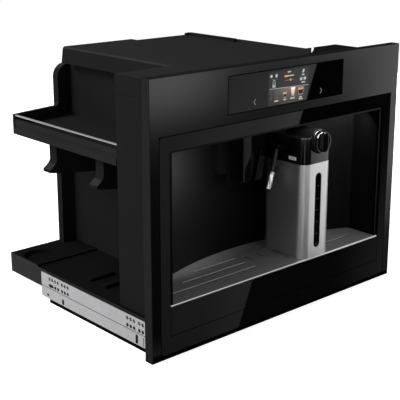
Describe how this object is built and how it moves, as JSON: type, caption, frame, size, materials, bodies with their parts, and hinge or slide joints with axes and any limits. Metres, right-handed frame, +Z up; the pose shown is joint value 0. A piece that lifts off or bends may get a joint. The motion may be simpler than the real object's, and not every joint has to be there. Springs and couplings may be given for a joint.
{
  "type": "built-in coffee machine",
  "caption": "Built-in bean-to-cup coffee machine on pull-out rails, with a black front panel, display, niche with coffee spout, milk jug and drip tray, hinged top and open side bay",
  "frame": {"origin": "middle of the footprint, on the cabinet floor", "axes": "+X to the right as the user faces the machine, +Y back into the cabinet, +Z up"},
  "size_m": [0.597, 0.49, 0.455],
  "materials": {
    "rail_steel": "galvanised",
    "black_steel": "matte",
    "panel_black": "satin",
    "gloss_black": "glossy",
    "display_glass": "polished",
    "display_black": "matte",
    "body_black": "fine grained",
    "niche_black": "satin",
    "grill_steel": "dark brushed",
    "trim_steel": "brushed",
    "jug_steel": "brushed",
    "jug_window": "smoked clear",
    "chrome": "polished",
    "button_white": "matte",
    "clear_plastic": "smoked clear",
    "boiler_aluminium": "cast",
    "pump_black": "matte",
    "board_green": "coated board"
  },
  "bodies": {
    "cabinet_rails": {"rail_fixed_left": "rail_steel", "rail_fixed_right": "rail_steel", "rail_feet": "black_steel"},
    "rail_middles": {"rail_middle_left": "rail_steel", "rail_middle_right": "rail_steel"},
    "machine": {"rail_inner_left": "rail_steel", "rail_inner_right": "rail_steel", "base_tray": "body_black", "front_panel": "panel_black", "niche_surround": "gloss_black", "display_glass": "display_glass", "display_module": "display_black", "bulkhead": "rail_steel", "niche_liner": "niche_black", "niche_hood": "body_black", "spout_guide": "body_black", "left_housing": "body_black", "left_housing_upper": "body_black", "right_housing": "body_black", "right_housing_upper": "body_black", "body_left_wall": "body_black", "body_right_wall": "body_black", "rear_wall": "black_steel", "power_inlet": "body_black", "hinge_strip": "body_black", "hinge_pin": "black_steel", "right_top_cover": "body_black", "side_shelf": "body_black", "shelf_hangers": "body_black", "guard_rod": "chrome", "steam_nozzle": "body_black", "inner_deck": "rail_steel", "brew_unit": "body_black", "grinder": "body_black", "bean_hopper": "clear_plastic", "boiler": "boiler_aluminium", "pump": "pump_black", "control_board": "board_green"},
    "top_cover": {"top_cover": "body_black"},
    "coffee_spout": {"spout_housing": "gloss_black", "spout_carriage": "body_black"},
    "drip_tray": {"tray_front": "gloss_black", "tray_pan": "body_black", "grounds_container": "body_black", "grill": "grill_steel", "grill_trim": "trim_steel"},
    "milk_jug": {"jug_body": "jug_steel", "jug_window": "jug_window", "jug_lid": "gloss_black"},
    "froth_knob": {"froth_knob": "gloss_black", "knob_ring": "chrome"},
    "milk_spout": {"milk_spout": "gloss_black"},
    "milk_spout_tip": {"milk_spout_tip": "chrome"},
    "lid_button_left": {"lid_button_left": "button_white"},
    "lid_button_right": {"lid_button_right": "button_white"},
    "water_tank": {"water_tank": "clear_plastic", "tank_lid": "clear_plastic"},
    "brew_piston": {"brew_piston": "body_black"}
  },
  "joints": [
    {"name": "machine_slide", "type": "slide", "parent": "cabinet_rails", "child": "machine", "axis": [0, -1, 0], "range_m": [0, 0.29]},
    {"name": "rail_middle_slide", "type": "slide", "parent": "cabinet_rails", "child": "rail_middles", "axis": [0, -1, 0], "range_m": [0, 0.145]},
    {"name": "top_cover_hinge", "type": "hinge", "parent": "machine", "child": "top_cover", "pos_m": [0.146, 0.117, 0.4472], "axis": [0, 1, 0], "range_deg": [0, 75]},
    {"name": "spout_height", "type": "slide", "parent": "machine", "child": "coffee_spout", "axis": [0, 0, 1], "range_m": [-0.055, 0]},
    {"name": "tray_pull", "type": "slide", "parent": "machine", "child": "drip_tray", "axis": [0, -1, 0], "range_m": [0, 0.2]},
    {"name": "jug_pull", "type": "slide", "parent": "machine", "child": "milk_jug", "axis": [0, -1, 0], "range_m": [0, 0.12]},
    {"name": "froth_turn", "type": "hinge", "parent": "milk_jug", "child": "froth_knob", "pos_m": [0.083, -0.231, 0.302], "axis": [0, -1, 0], "range_deg": [-60, 90]},
    {"name": "milk_spout_swing", "type": "hinge", "parent": "milk_jug", "child": "milk_spout", "pos_m": [0.041, -0.169, 0.288], "axis": [0, 1, 0], "range_deg": [-10, 20]},
    {"name": "milk_spout_extend", "type": "slide", "parent": "milk_spout", "child": "milk_spout_tip", "axis": [-0.2756, 0, -0.9613], "range_m": [0, 0.015]},
    {"name": "lid_button_left_press", "type": "slide", "parent": "milk_jug", "child": "lid_button_left", "axis": [1, 0, 0], "range_m": [0, 0.002], "stiffness_N_per_m": 500},
    {"name": "lid_button_right_press", "type": "slide", "parent": "milk_jug", "child": "lid_button_right", "axis": [-1, 0, 0], "range_m": [0, 0.002], "stiffness_N_per_m": 500},
    {"name": "tank_lift", "type": "slide", "parent": "machine", "child": "water_tank", "axis": [0, 0, 1], "range_m": [0, 0.04]},
    {"name": "brew_press", "type": "slide", "parent": "machine", "child": "brew_piston", "axis": [0, 0, 1], "range_m": [0, 0.03]}
  ],
  "couplings": [
    {"joint": "rail_middle_slide", "follows": "machine_slide", "ratio": 0.5}
  ]
}
